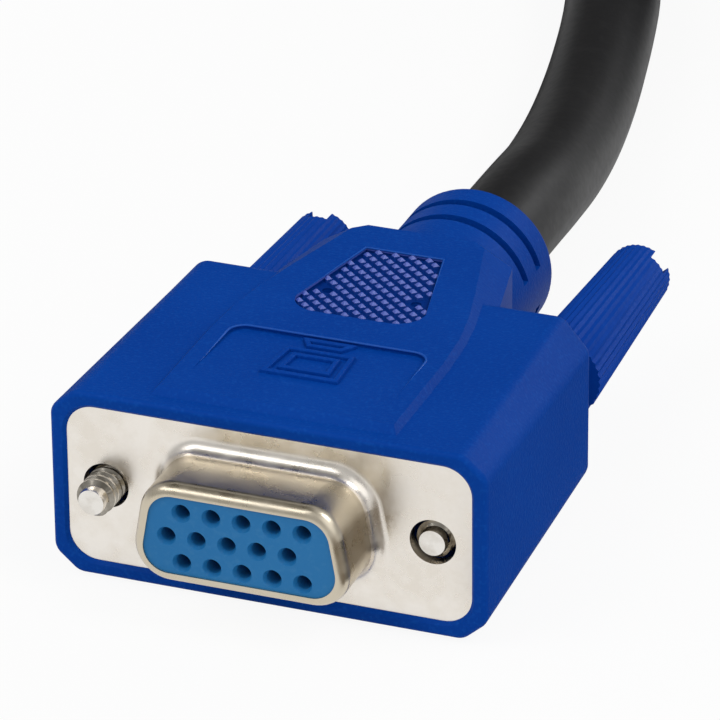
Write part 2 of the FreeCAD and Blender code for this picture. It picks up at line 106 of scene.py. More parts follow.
def newGroup(name, inputs, outputs):
    group = bpy.data.node_groups.new(name, "ShaderNodeTree")
    for label, kind, default in inputs:
        socket = group.interface.new_socket(label, in_out="INPUT", socket_type=kind)
        if default is not None:
            socket.default_value = default
    for label, kind in outputs:
        group.interface.new_socket(label, in_out="OUTPUT", socket_type=kind)
    start = group.nodes.new("NodeGroupInput")
    end = group.nodes.new("NodeGroupOutput")
    return group, start, end


def useGroup(tree, group, **values):
    node = tree.nodes.new("ShaderNodeGroup")
    node.node_tree = group
    for key, value in values.items():
        node.inputs[key].default_value = value
    return node


# spark-eroded grain: fine pits for the bump, sparse light flecks and a slow drift of tone
grainNoise = {
    "pitDetail": 3,
    "fleckDetail": 1,
    "fleckRange": (0.52, 0.74),
    "driftScale": 90,
    "driftDetail": 2,
}


def grainGroup():
    group, start, end = newGroup(
        "sparkGrain",
        [
            ("Vector", "NodeSocketVector", None),
            ("Pit Scale", "NodeSocketFloat", 3000.0),
            ("Fleck Scale", "NodeSocketFloat", 1500.0),
            ("Fleck Amount", "NodeSocketFloat", 0.3),
        ],
        [("Height", "NodeSocketFloat"), ("Fleck", "NodeSocketFloat"), ("Drift", "NodeSocketFloat")],
    )
    link = group.links.new
    pits = addNode(group, "ShaderNodeTexNoise")
    pits.inputs["Detail"].default_value = grainNoise["pitDetail"]
    flecks = addNode(group, "ShaderNodeTexNoise")
    flecks.inputs["Detail"].default_value = grainNoise["fleckDetail"]
    drift = addNode(group, "ShaderNodeTexNoise")
    drift.inputs["Scale"].default_value = grainNoise["driftScale"]
    drift.inputs["Detail"].default_value = grainNoise["driftDetail"]
    spread = addNode(group, "ShaderNodeMapRange")
    setRange(spread, "From", grainNoise["fleckRange"])
    amount = addNode(group, "ShaderNodeMath", operation="MULTIPLY")
    for texture in (pits, flecks, drift):
        link(start.outputs["Vector"], texture.inputs["Vector"])
    link(start.outputs["Pit Scale"], pits.inputs["Scale"])
    link(start.outputs["Fleck Scale"], flecks.inputs["Scale"])
    link(flecks.outputs["Fac"], spread.inputs["Value"])
    link(spread.outputs["Result"], amount.inputs[0])
    link(start.outputs["Fleck Amount"], amount.inputs[1])
    link(pits.outputs["Fac"], end.inputs["Height"])
    link(amount.outputs["Value"], end.inputs["Fleck"])
    link(drift.outputs["Fac"], end.inputs["Drift"])
    return group


sparkGrain = grainGroup()


def grainedPlastic(name, look):
    material, tree, shader = newMaterial(name)
    link = tree.links.new
    grain = useGroup(
        tree,
        sparkGrain,
        **{"Pit Scale": look["pits"], "Fleck Scale": look["flecks"], "Fleck Amount": look["fleckAmount"]},
    )
    link(objectCoords(tree), grain.inputs["Vector"])
    tone = addNode(tree, "ShaderNodeMix", data_type="RGBA")
    tone.inputs["A"].default_value = look["dark"] + (1,)
    tone.inputs["B"].default_value = look["light"] + (1,)
    link(grain.outputs["Drift"], tone.inputs["Factor"])
    sparkle = addNode(tree, "ShaderNodeMix", data_type="RGBA")
    sparkle.inputs["B"].default_value = look["fleckColour"] + (1,)
    link(tone.outputs["Result"], sparkle.inputs["A"])
    link(grain.outputs["Fleck"], sparkle.inputs["Factor"])
    link(sparkle.outputs["Result"], shader.inputs["Base Color"])
    rough = addNode(tree, "ShaderNodeMapRange")
    setRange(rough, "To", look["rough"])
    link(grain.outputs["Height"], rough.inputs["Value"])
    link(rough.outputs["Result"], shader.inputs["Roughness"])
    bump = addNode(tree, "ShaderNodeBump")
    bump.inputs["Strength"].default_value = look["bump"]
    bump.inputs["Distance"].default_value = look["bumpDepth"]
    link(grain.outputs["Height"], bump.inputs["Height"])
    link(bump.outputs["Normal"], shader.inputs["Normal"])
    shader.inputs["Specular IOR Level"].default_value = look["gloss"]
    return material


hoodLook = {
    "dark": (0.0004, 0.039, 0.28),
    "light": (0.0010, 0.056, 0.35),
    "pits": 4200,
    "flecks": 3600,
    "fleckAmount": 0.35,
    "fleckColour": (0.006, 0.085, 0.42),
    "rough": (0.40, 0.56),
    "bump": 0.7,
    "bumpDepth": 0.00005,
    "gloss": 0.04,
}
# glossier copy of the hood's vinyl for the recess lips, its paler blue a painted highlight
glossyPaintedHighlightLook = dict(hoodLook, dark=(0.005, 0.07, 0.39), light=(0.014, 0.105, 0.47), rough=(0.3, 0.4), gloss=0.2)
gripLook = {
    "dark": (0.0006, 0.040, 0.30),
    "light": (0.0020, 0.058, 0.37),
    "pits": 2200,
    "flecks": 1500,
    "fleckAmount": 0.12,
    "fleckColour": (0.012, 0.09, 0.46),
    "rough": (0.42, 0.56),
    "bump": 0.3,
    "bumpDepth": 0.00004,
    "gloss": 0.05,
}
insulatorLook = {
    "dark": (0.010, 0.148, 0.38),
    "light": (0.018, 0.185, 0.45),
    "pits": 1800,
    "flecks": 2500,
    "fleckAmount": 0.08,
    "fleckColour": (0.12, 0.32, 0.52),
    "rough": (0.36, 0.5),
    "bump": 0.2,
    "bumpDepth": 0.00003,
    "gloss": 0.25,
}
jacketLook = {
    "dark": (0.011, 0.011, 0.012),
    "light": (0.018, 0.018, 0.019),
    "pits": 1400,
    "flecks": 900,
    "fleckAmount": 0.10,
    "fleckColour": (0.05, 0.05, 0.05),
    "rough": (0.42, 0.56),
    "bump": 0.25,
    "bumpDepth": 0.00005,
    "gloss": 0.3,
}
tieLook = {
    "dark": (0.010, 0.010, 0.011),
    "light": (0.016, 0.016, 0.017),
    "pits": 1600,
    "flecks": 1200,
    "fleckAmount": 0.1,
    "fleckColour": (0.05, 0.05, 0.05),
    "rough": (0.5, 0.65),
    "bump": 0.4,
    "bumpDepth": 0.00006,
    "gloss": 0.3,
}
innerLook = dict(tieLook, dark=(0.5, 0.5, 0.47), light=(0.6, 0.6, 0.56))
rearLook = dict(tieLook, dark=(0.012, 0.012, 0.013), light=(0.02, 0.02, 0.021))
wireLook = dict(tieLook, dark=(0.35, 0.02, 0.015), light=(0.45, 0.03, 0.02))


# plated metal: cloudy patches in the colour and roughness, faint pitting in the bump
mottleNoise = {"cloudDetail": 4, "cloudRange": (0.36, 0.64), "pitScale": 2400, "pitDepth": 0.00004}


def mottleGroup():
    group, start, end = newGroup(
        "platingMottle",
        [("Vector", "NodeSocketVector", None), ("Cloud Scale", "NodeSocketFloat", 400.0)],
        [("Cloud", "NodeSocketFloat"), ("Height", "NodeSocketFloat")],
    )
    link = group.links.new
    cloud = addNode(group, "ShaderNodeTexNoise")
    cloud.inputs["Detail"].default_value = mottleNoise["cloudDetail"]
    spread = addNode(group, "ShaderNodeMapRange")
    setRange(spread, "From", mottleNoise["cloudRange"])
    pits = addNode(group, "ShaderNodeTexNoise")
    pits.inputs["Scale"].default_value = mottleNoise["pitScale"]
    link(start.outputs["Vector"], cloud.inputs["Vector"])
    link(start.outputs["Vector"], pits.inputs["Vector"])
    link(start.outputs["Cloud Scale"], cloud.inputs["Scale"])
    link(cloud.outputs["Fac"], spread.inputs["Value"])
    link(spread.outputs["Result"], end.inputs["Cloud"])
    link(pits.outputs["Fac"], end.inputs["Height"])
    return group


platingMottle = mottleGroup()


def platedMetal(name, look):
    material, tree, shader = newMaterial(name)
    link = tree.links.new
    mottle = useGroup(tree, platingMottle, **{"Cloud Scale": look["clouds"]})
    link(objectCoords(tree), mottle.inputs["Vector"])
    tone = addNode(tree, "ShaderNodeMix", data_type="RGBA")
    tone.inputs["A"].default_value = look["dark"] + (1,)
    tone.inputs["B"].default_value = look["light"] + (1,)
    link(mottle.outputs["Cloud"], tone.inputs["Factor"])
    link(tone.outputs["Result"], shader.inputs["Base Color"])
    rough = addNode(tree, "ShaderNodeMapRange")
    setRange(rough, "To", look["rough"])
    link(mottle.outputs["Cloud"], rough.inputs["Value"])
    link(rough.outputs["Result"], shader.inputs["Roughness"])
    bump = addNode(tree, "ShaderNodeBump")
    bump.inputs["Strength"].default_value = look["bump"]
    bump.inputs["Distance"].default_value = mottleNoise["pitDepth"]
    link(mottle.outputs["Height"], bump.inputs["Height"])
    link(bump.outputs["Normal"], shader.inputs["Normal"])
    shader.inputs["Metallic"].default_value = 1
    return material


nickelLook = {
    "dark": (0.83, 0.775, 0.695),
    "light": (0.93, 0.885, 0.82),
    "clouds": 520,
    "rough": (0.24, 0.36),
    "bump": 0.12,
}
screwLook = {
    "dark": (0.70, 0.66, 0.60),
    "light": (0.86, 0.83, 0.78),
    "clouds": 900,
    "rough": (0.13, 0.21),
    "bump": 0.1,
}
# painted shade for the thread's flanks: a darker copy of the screw's finish
paintedFlankShadeLook = dict(screwLook, dark=(0.22, 0.20, 0.165), light=(0.42, 0.39, 0.34))
goldLook = {
    "dark": (0.55, 0.36, 0.12),
    "light": (0.75, 0.52, 0.2),
    "clouds": 900,
    "rough": (0.2, 0.32),
    "bump": 0.05,
}
copperLook = {
    "dark": (0.5, 0.22, 0.1),
    "light": (0.62, 0.3, 0.15),
    "clouds": 300,
    "rough": (0.28, 0.4),
    "bump": 0.3,
}

finishes = {
    "hood_vinyl": grainedPlastic("hoodVinyl", hoodLook),
    "glossy_painted_highlight_vinyl": grainedPlastic("glossyPaintedHighlightVinyl", glossyPaintedHighlightLook),
    "grip_plastic": grainedPlastic("gripPlastic", gripLook),
    "insulator": grainedPlastic("faceInsulator", insulatorLook),
    "cable_jacket": grainedPlastic("cableJacket", jacketLook),
    "tie_band": grainedPlastic("tieBand", tieLook),
    "inner_mould": grainedPlastic("innerMould", innerLook),
    "rear_insulator": grainedPlastic("rearInsulator", rearLook),
    "wire": grainedPlastic("coreWire", wireLook),
    "plated_steel": platedMetal("nickelPlate", nickelLook),
    "screw_steel": platedMetal("screwSteel", screwLook),
    "painted_flank_shade": platedMetal("paintedFlankShade", paintedFlankShadeLook),
    "contact_metal": platedMetal("contactGold", goldLook),
    "foil": platedMetal("copperFoil", copperLook),
    "ferrule": platedMetal("crimpFerrule", goldLook),
}


# mask of a box: one inside it, nought outside
def boxGroup():
    group, start, end = newGroup(
        "boxMask",
        [
            ("Vector", "NodeSocketVector", None),
            ("Centre", "NodeSocketVector", None),
            ("Half Size", "NodeSocketVector", None),
        ],
        [("Mask", "NodeSocketFloat")],
    )
    link = group.links.new
    apart = addNode(group, "ShaderNodeVectorMath", operation="SUBTRACT")
    size = addNode(group, "ShaderNodeVectorMath", operation="ABSOLUTE")
    share = addNode(group, "ShaderNodeVectorMath", operation="DIVIDE")
    split = addNode(group, "ShaderNodeSeparateXYZ")
    wider = addNode(group, "ShaderNodeMath", operation="MAXIMUM")
    widest = addNode(group, "ShaderNodeMath", operation="MAXIMUM")
    inside = addNode(group, "ShaderNodeMath", operation="LESS_THAN")
    inside.inputs[1].default_value = 1
    link(start.outputs["Vector"], apart.inputs[0])
    link(start.outputs["Centre"], apart.inputs[1])
    link(apart.outputs["Vector"], size.inputs[0])
    link(size.outputs["Vector"], share.inputs[0])
    link(start.outputs["Half Size"], share.inputs[1])
    link(share.outputs["Vector"], split.inputs["Vector"])
    link(split.outputs["X"], wider.inputs[0])
    link(split.outputs["Y"], wider.inputs[1])
    link(wider.outputs["Value"], widest.inputs[0])
    link(split.outputs["Z"], widest.inputs[1])
    link(widest.outputs["Value"], inside.inputs[0])
    link(inside.outputs["Value"], end.inputs["Mask"])
    return group


boxMask = boxGroup()


# mask of two boxes of one size, one at each end of the lead, given in mm
def boxesMask(tree, middles, half):
    both = addNode(tree, "ShaderNodeMath", operation="MAXIMUM")
    for i, middle in enumerate(middles):
        sizes = {"Centre": Vector(middle) * mm, "Half Size": Vector(half) * mm}
        mask = useGroup(tree, boxMask, **sizes)
        tree.links.new(objectCoords(tree), mask.inputs["Vector"])
        tree.links.new(mask.outputs["Mask"], both.inputs[i])
    return both.outputs["Value"]


# finger pads of both ends: handling has polished the points, which also carry a painted highlight in their
# colour, and painted shade darkens the gaps between them
padMiddle = 22.35  # from the flange
pads = {
    "middles": [(0, flangeY + padMiddle), (plugX, plugY - padMiddle)],
    "half": (5.15, 5.8),
    "points": (15.21, 15.43),
    "gaps": (14.9, 15.21),
    "coatRough": 0.24,
    # painted shade in the gaps, then painted highlight on the points: colour and share of each
    "paintedShadeColour": (0.0003, 0.02, 0.16),
    "paintedShadeShare": 0.75,
    "paintedHighlightColour": (0.10, 0.15, 0.58),
    "paintedHighlightShare": 0.8,
}


def padMask(tree, heights):
    low, high = heights
    middles = [(x, y, (low + high) / 2) for x, y in pads["middles"]]
    return boxesMask(tree, middles, pads["half"] + ((high - low) / 2,))


# mixes a colour into a material's base colour where the mask is one
def tintWhere(material, mask, colour, amount):
    tree = material.node_tree
    shader = tree.nodes["Principled BSDF"]
    share = addNode(tree, "ShaderNodeMath", operation="MULTIPLY")
    share.inputs[1].default_value = amount
    tree.links.new(mask, share.inputs[0])
    shade = addNode(tree, "ShaderNodeMix", data_type="RGBA")
    shade.inputs["B"].default_value = colour + (1,)
    tree.links.new(share.outputs["Value"], shade.inputs["Factor"])
    tree.links.new(shader.inputs["Base Color"].links[0].from_socket, shade.inputs["A"])
    tree.links.new(shade.outputs["Result"], shader.inputs["Base Color"])


def polishPadsAndPaintLight(material):
    tree = material.node_tree
    shader = tree.nodes["Principled BSDF"]
    points = padMask(tree, pads["points"])
    tree.links.new(points, shader.inputs["Coat Weight"])
    shader.inputs["Coat Roughness"].default_value = pads["coatRough"]
    # painted shade: the gaps between the points are tinted dark
    tintWhere(material, padMask(tree, pads["gaps"]), pads["paintedShadeColour"], pads["paintedShadeShare"])
    # painted highlight: the points are tinted pale lavender
    tintWhere(material, points, pads["paintedHighlightColour"], pads["paintedHighlightShare"])


polishPadsAndPaintLight(finishes["hood_vinyl"])

# drawn shells of both ends: painted shade, the plating there tinted darker and browner than on the flanges
shellMiddle = 3.3  # from the flange
paintedShellShade = {
    "middles": [(0, flangeY - shellMiddle, axisHeight), (plugX, plugY + shellMiddle, axisHeight)],
    "half": (9.5, 2.4, 5.0),
    "colour": (0.52, 0.44, 0.29),
    "share": 0.65,
}


def paintShellShade(material):
    # painted shade: the darker, browner colour mixed into the shells' plating
    mask = boxesMask(material.node_tree, paintedShellShade["middles"], paintedShellShade["half"])
    tintWhere(material, mask, paintedShellShade["colour"], paintedShellShade["share"])


paintShellShade(finishes["plated_steel"])

for piece in frame["record"]["subparts"]:
    nodes[piece["node"]].material_slots[0].material = finishes[piece["material_slot"]]
print("finishes", len(finishes))

# both ends of the lead: the cable leaves the socket along +Y, and the plug is turned the other way
ends = {
    "socket": {"place": (0.0, flangeY, axisHeight), "turn": 0, "pulls": {"left": 1.2, "right": 3.8}},
    "plug": {"place": (plugX, plugY, axisHeight), "turn": 180, "pulls": {"left": 3.2, "right": 2.4}},
}


def layAtEnd(shape, end):
    turn = Matrix.Rotation(math.radians(end["turn"]), 4, "Z")
    bmesh.ops.transform(shape, matrix=Matrix.Translation(Vector(end["place"])) @ turn, verts=shape.verts)
    bmesh.ops.scale(shape, vec=(mm, mm, mm), verts=shape.verts)


def finishPiece(shape, name, slot, sharpness, finish=None):
    bmesh.ops.recalc_face_normals(shape, faces=shape.faces)
    mesh = bpy.data.meshes.new(name)
    shape.to_mesh(mesh)
    shape.free()
    mesh.polygons.foreach_set("use_smooth", [True] * len(mesh.polygons))
    mesh.set_sharp_from_angle(angle=math.radians(sharpness))
    mesh.materials.append(finishes[finish or slot])
    piece = bpy.data.objects.new(name, mesh)
    bpy.context.collection.objects.link(piece)
    return piece


# thumbscrew with its rolled 4-40 thread, along +Y and pushed fully home
screw = {
    "spacing": 24.99,
    "tip": -4.0,
    "threadLength": 7.4,
    "pitch": 0.635,
    "crest": 1.42,
    "root": 1.06,
    "crestFlat": 0.15,
    "point": 0.28,
    "pointRadius": 0.98,
    "plainTip": 0.2,
    "fadeTurns": 0.3,
    "shank": 1.1,
    "end": 36.5,
    "steps": 28,
    "weld": 0.0001,
    "sink": 0.03,
    "crestSlack": 0.01,
    "flankSlope": 0.3,
    "sharpness": 35,
}


def addScrew(endName, side, sign):
    end = ends[endName]
    tip, root, crest = screw["tip"], screw["root"], screw["crest"]
    shoulder = tip + screw["threadLength"]
    shape = bmesh.new()
    profile = [
        (0, tip),
        (screw["pointRadius"], tip),
        (root, tip + screw["point"]),
        (root, shoulder),
        (screw["shank"], shoulder),
        (screw["shank"], screw["end"]),
        (0, screw["end"]),
    ]
    verts = [shape.verts.new((radius, y, 0)) for radius, y in profile]
    edges = [shape.edges.new(pair) for pair in zip(verts, verts[1:])]
    around = {"cent": (0, 0, 0), "axis": (0, 1, 0)}
    full = 2 * math.pi
    bmesh.ops.spin(shape, geom=verts + edges, angle=full, steps=screw["steps"], use_merge=True, **around)
    bmesh.ops.remove_doubles(shape, verts=shape.verts, dist=screw["weld"])
    # ridge: one thread section, spun and moved on by a pitch each turn
    pitch, flat = screw["pitch"], screw["crestFlat"]
    start, sunk = tip + screw["plainTip"], root - screw["sink"]
    section = [
        (sunk, start),
        (crest, start + (pitch - flat) / 2),
        (crest, start + (pitch + flat) / 2),
        (sunk, start + pitch),
    ]
    ridge = shape.faces.new([shape.verts.new((radius, y, 0)) for radius, y in section])
    turns = int((screw["threadLength"] - screw["plainTip"]) / pitch) - 1
    bmesh.ops.spin(
        shape,
        geom=[ridge] + list(ridge.edges) + list(ridge.verts),
        dvec=(0, pitch / screw["steps"], 0),
        angle=full * turns,
        steps=turns * screw["steps"],
        **around,
    )
    # the ridge rises out of the screw over its first part of a turn
    for vert in shape.verts:
        turnsIn = (vert.co.y - start) / pitch - 0.5
        reach = math.hypot(vert.co.x, vert.co.z)
        if reach > crest - screw["crestSlack"] and turnsIn < screw["fadeTurns"]:
            wanted = root + (crest - root) * max(turnsIn, 0) / screw["fadeTurns"]
            bmesh.ops.scale(shape, vec=(wanted / reach, 1, wanted / reach), verts=[vert])
    # painted shade: the ridge's flanks get a darker copy of the screw's finish than its crest
    shape.normal_update()
    for face in shape.faces:
        if start < face.calc_center_median().y < shoulder and abs(face.normal.y) > screw["flankSlope"]:
            face.material_index = 1
    aside = Vector((sign * screw["spacing"] / 2, end["pulls"][side], 0))
    bmesh.ops.translate(shape, vec=aside, verts=shape.verts)
    layAtEnd(shape, end)
    name = endName + "_" + side
    piece = finishPiece(shape, name + "_thread", "screw_steel", screw["sharpness"])
    piece.data.materials.append(finishes["painted_flank_shade"])
    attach(piece, name + "_thumbscrew")
    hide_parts(name + "_screw")


for endName in ends:
    for side, sign in (("left", -1), ("right", 1)):
        addScrew(endName, side, sign)
print("thumbscrews threaded")

# raised monitor outline on the floor of the label recess, seen from the cable's side
symbol = {
    "origin": (4.8, 7.85),  # the recess's front edge and its height above the axis
    "fall": 2.25,  # degrees that the recess's floor falls towards the cable
    "height": 0.3,
    "sink": 0.03,
    "line": 0.42,
    "round": 0.15,
    "roundSegments": 3,
    "edgeAngle": 0.5,
    "sharpness": 30,
    "frames": [  # near and far side of each outline: distance from the flange, half width
        {"near": (6.2, 2.98), "far": (10.75, 2.66)},
        {"near": (7.15, 2.02), "far": (9.9, 1.82)},
        {"near": (11.25, 1.35), "far": (12.55, 2.1)},
    ],
}


def addSymbol(endName):
    end = ends[endName]
    shape = bmesh.new()
    frontY, frontZ = symbol["origin"]
    for outline in symbol["frames"]:
        nearY, nearX = outline["near"]
        farY, farX = outline["far"]
        corners = [(-nearX, nearY), (nearX, nearY), (farX, farY), (-farX, farY)]
        face = shape.faces.new([shape.verts.new((x, y - frontY, 0)) for x, y in corners])
        face.normal_update()
        bmesh.ops.inset_region(
            shape, faces=[face], thickness=symbol["line"], use_boundary=True, use_even_offset=True
        )
        bmesh.ops.delete(shape, geom=[face], context="FACES")
    rim = bmesh.ops.extrude_face_region(shape, geom=shape.faces[:])
    raised = [item for item in rim["geom"] if isinstance(item, bmesh.types.BMVert)]
    bmesh.ops.translate(shape, vec=(0, 0, symbol["height"] + symbol["sink"]), verts=raised)
    top = [edge for edge in shape.edges if all(vert in raised for vert in edge.verts)]
    outer = [edge for edge in top if edge.calc_face_angle(0) > symbol["edgeAngle"]]
    bmesh.ops.bevel(
        shape,
        geom=outer,
        offset=symbol["round"],
        segments=symbol["roundSegments"],
        profile=0.5,
        affect="EDGES",
        material=-1,
    )
    tilt = Matrix.Rotation(math.radians(-symbol["fall"]), 3, "X")
    bmesh.ops.rotate(shape, cent=(0, 0, 0), matrix=tilt, verts=shape.verts)
    bmesh.ops.translate(shape, vec=(0, frontY, frontZ - symbol["sink"]), verts=shape.verts)
    layAtEnd(shape, end)
    piece = finishPiece(shape, endName + "_monitor_mark", "hood_vinyl", symbol["sharpness"])
    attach(piece, "lead")


for endName in ends:
    addSymbol(endName)
print("monitor marks raised")

# fine rounded lips along the edges of the label recess and the finger pad, worn glossier and painted paler as
# a highlight
lips = {
    "height": 7.85,
    "sink": 0.05,
    "radius": 0.09,
    "segments": 12,
    "openEnd": 0.25,
    "arcSteps": 6,
    "sharpness": 50,
    "label": {"half": 7.65, "front": 6.4, "rear": 12.95, "corner": 1.3},
    "pad": {"narrow": 3.1, "wide": 5.05, "front": 16.65, "rear": 28.05, "corner": 2.2},
}


def arcPoints(centreX, centreY, radius, start, end):
    steps = lips["arcSteps"]
    angles = [math.radians(start + (end - start) * i / steps) for i in range(steps + 1)]
    return [(centreX + radius * math.cos(angle), centreY + radius * math.sin(angle)) for angle in angles]


def labelPath():
    half, front, rear, corner = (lips["label"][key] for key in ("half", "front", "rear", "corner"))
    left = arcPoints(corner - half, rear - corner, corner, 180, 90)
    right = arcPoints(half - corner, rear - corner, corner, 90, 0)
    return [(-half, front)] + left + right + [(half, front)]


def padPath():
    pad = lips["pad"]
    shoulder = pad["front"] + pad["corner"]
    wide, narrow, rear = pad["wide"], pad["narrow"], pad["rear"]
    return [(-wide, shoulder), (-narrow, rear), (narrow, rear), (wide, shoulder)]


def sweepLip(shape, path):
    loops = []
    last = len(path) - 1
    for i, (x, y) in enumerate(path):
        before, after = path[max(i - 1, 0)], path[min(i + 1, last)]
        along = Vector((after[0] - before[0], after[1] - before[1], 0))
        place = Matrix.Translation((x, y, lips["height"] - lips["sink"]))
        atEnd = i in (0, last)
        ring = bmesh.ops.create_circle(
            shape,
            cap_ends=atEnd,
            radius=lips["radius"] * (lips["openEnd"] if atEnd else 1),
            segments=lips["segments"],
            matrix=place @ along.to_track_quat("Z", "Y").to_matrix().to_4x4(),
        )
        loops.append({edge for vert in ring["verts"] for edge in vert.link_edges})
    for near, far in zip(loops, loops[1:]):
        bmesh.ops.bridge_loops(shape, edges=list(near | far))


def addLips(endName):
    shape = bmesh.new()
    sweepLip(shape, labelPath())
    sweepLip(shape, padPath())
    layAtEnd(shape, ends[endName])
    # the lips' paler finish is a painted highlight
    piece = finishPiece(shape, endName + "_recess_lips", "hood_vinyl", lips["sharpness"], finish="glossy_painted_highlight_vinyl")
    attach(piece, "lead")


for endName in ends:
    addLips(endName)
print("recess lips laid")

# knurl points along the edges of the finger pads, half sunk in the pads' walls
knurl = {
    "step": (0.67, 0.59),
    "gap": 0.04,
    "foot": -0.5,
    "tip": -0.03,
    "tipShare": 0.15,
    "edge": 0.12,
    "faces": [(7.85, 1), (-7.6, -1)],  # height of the plateau and of the belly, and which way each looks
    "ejector": (3.48, 21.0),  # round mark in the pad that the points keep clear of
    "across": 8,
    "along": 20,
    "sharpness": 20,
}


def insidePad(x, y, margin):
    pad = lips["pad"]
    inner, shoulder = pad["wide"] - pad["corner"], pad["front"] + pad["corner"]
    if y > pad["rear"] - margin or y < pad["front"] + margin:
        return False
    if y < shoulder and abs(x) > inner:
        return math.hypot(abs(x) - inner, shoulder - y) < pad["corner"] - margin
    share = (y - shoulder) / (pad["rear"] - shoulder)
    return abs(x) < pad["wide"] - share * (pad["wide"] - pad["narrow"]) - margin


def edgeSites():
    stepX, stepY = knurl["step"]
    ejectorX, ejectorY = knurl["ejector"]
    sites = []
    for i in range(-knurl["across"], knurl["across"] + 1):
        for j in range(knurl["along"]):
            x, y = i * stepX, lips["pad"]["front"] + j * stepY
            clear = math.hypot(abs(x) - ejectorX, y - ejectorY) > stepX
            nearEdge = insidePad(x, y, knurl["edge"]) and not insidePad(x, y, stepY)
            if (i + j) % 2 == 0 and clear and nearEdge:
                sites.append((x, y))
    return sites


def addEdgePoints(endName):
    shape = bmesh.new()
    stepX, stepY = knurl["step"]
    for height, way in knurl["faces"]:
        middle = height + way * (knurl["foot"] + knurl["tip"]) / 2
        size = Matrix.Diagonal((stepX - knurl["gap"], stepY - knurl["gap"], way, 1))
        for x, y in edgeSites():
            bmesh.ops.create_cone(
                shape,
                cap_ends=True,
                segments=4,
                radius1=1,
                radius2=knurl["tipShare"],
                depth=knurl["tip"] - knurl["foot"],
                matrix=Matrix.Translation((x, y, middle)) @ size,
            )
    layAtEnd(shape, ends[endName])
    piece = finishPiece(shape, endName + "_pad_edge_points", "hood_vinyl", knurl["sharpness"])
    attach(piece, "lead")


for endName in ends:
    addEdgePoints(endName)
print("pad edges knurled", len(edgeSites()), "points a pad")

# the free cable: the lead, four turns of the hank, then the tail into the plug. Points are in mm across,
# along and above the floor, the lead's from the socket's flange and the others from the hank's origin
cable = {
    "diameter": 8.2,
    "length": 1.76,  # metres
    "roundSteps": 6,
    "curveSteps": 8,
    "lead": [
        (0.0, 42.0, 7.6),
        (0.0, 54.0, 7.6),
        (-1.3, 65.0, 5.4),
        (-3.1, 77.0, 4.15),
        (-5.6, 90.2, 4.12),
        (-9.6, 106.7, 4.8),
        (-16.0, 119.2, 4.8),
        (-31.2, 149.0, 4.8),
    ],
    "tail": [
        (-20.5, 8.9, 21.4),
        (-15.5, 24.6, 17.8),
        (-6.0, 37.0, 11.2),
        (-1.0, 52.7, 7.6),
        (-1.0, 71.5, 7.6),
    ],
    "hank": (2.0, 157.0),
    "run": 105.0,
    "inner": 24.6,
    "outer": 33.2,
    "low": 4.8,
    "high": 13.1,
    "top": 21.4,
    "topFold": 25.5,
    "topCentre": (5.0, -8.0),
}


# lanes of each turn, as distance from the hank's middle and height: one for the left run and the far fold,
# then four points of the right run and four of the near fold
def hankLanes():
    inner, outer = cable["inner"], cable["outer"]
    low, high = cable["low"], cable["high"]
    return [
        ((outer, low), [(outer, low)] * 4, [(outer, low), (32.0, low), (26.5, low), (inner, low)]),
        ((inner, low), [(inner, low)] * 4, [(inner, 7.3), (inner, 12.1), (inner, high), (inner, high)]),
        (
            (inner, high),
            [(inner, high)] * 3 + [(27.5, high)],
            [(32.5, high), (outer, high), (outer, high), (outer, high)],
        ),
        ((outer, high), [(outer, high), (outer, 13.7), (32.2, 17.2), (30.6, cable["top"])], None),
    ]


def hankPoints():
    run = cable["run"]
    step = math.radians(45)
    widen = 1 / math.cos(step / 2)
    points = []
    for (lane, height), right, near in hankLanes():
        overrun = lane * math.tan(step / 2)
        stations = [-overrun + (run + 2 * overrun) * i / 5 for i in range(1, 5)]
        for y in stations:
            points.append((-lane, y, height))
        for i in range(4):
            angle = math.pi - (i + 0.5) * step
            points.append((lane * widen * math.cos(angle), run + lane * widen * math.sin(angle), height))
        for y, (x, z) in zip(reversed(stations), right):
            points.append((x, y, z))
        if near:
            for i, (radius, z) in enumerate(near):
                angle = -(i + 0.5) * step
                points.append((radius * widen * math.cos(angle), radius * widen * math.sin(angle), z))
    centreX, centreY = cable["topCentre"]
    reach = cable["topFold"] * widen
    for i in range(4):
        angle = -(i + 0.5) * step
        points.append((centreX + reach * math.cos(angle), centreY + reach * math.sin(angle), cable["top"]))
    return points + cable["tail"]


def addCable():
    hankX, hankY = cable["hank"]
    route = cable["lead"] + [(hankX + x, hankY + y, z) for x, y, z in hankPoints()]
    curve = bpy.data.curves.new("cable", "CURVE")
    curve.dimensions = "3D"
    curve.bevel_depth = cable["diameter"] / 2 * mm
    curve.bevel_resolution = cable["roundSteps"]
    curve.resolution_u = cable["curveSteps"]
    curve.use_fill_caps = True
    spline = curve.splines.new("NURBS")
    spline.points.add(len(route) - 1)
    for point, (x, y, z) in zip(spline.points, route):
        point.co = (x * mm, (y + flangeY) * mm, z * mm, 1)
    spline.order_u = 3
    spline.use_endpoint_u = True
    piece = bpy.data.objects.new("cable", curve)
    bpy.context.collection.objects.link(piece)
    curve.materials.append(finishes["cable_jacket"])
    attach(piece, "lead")
    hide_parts("cable_lead", "cable_hank", "cable_tail")
    return piece


cablePiece = addCable()
print("cable laid")

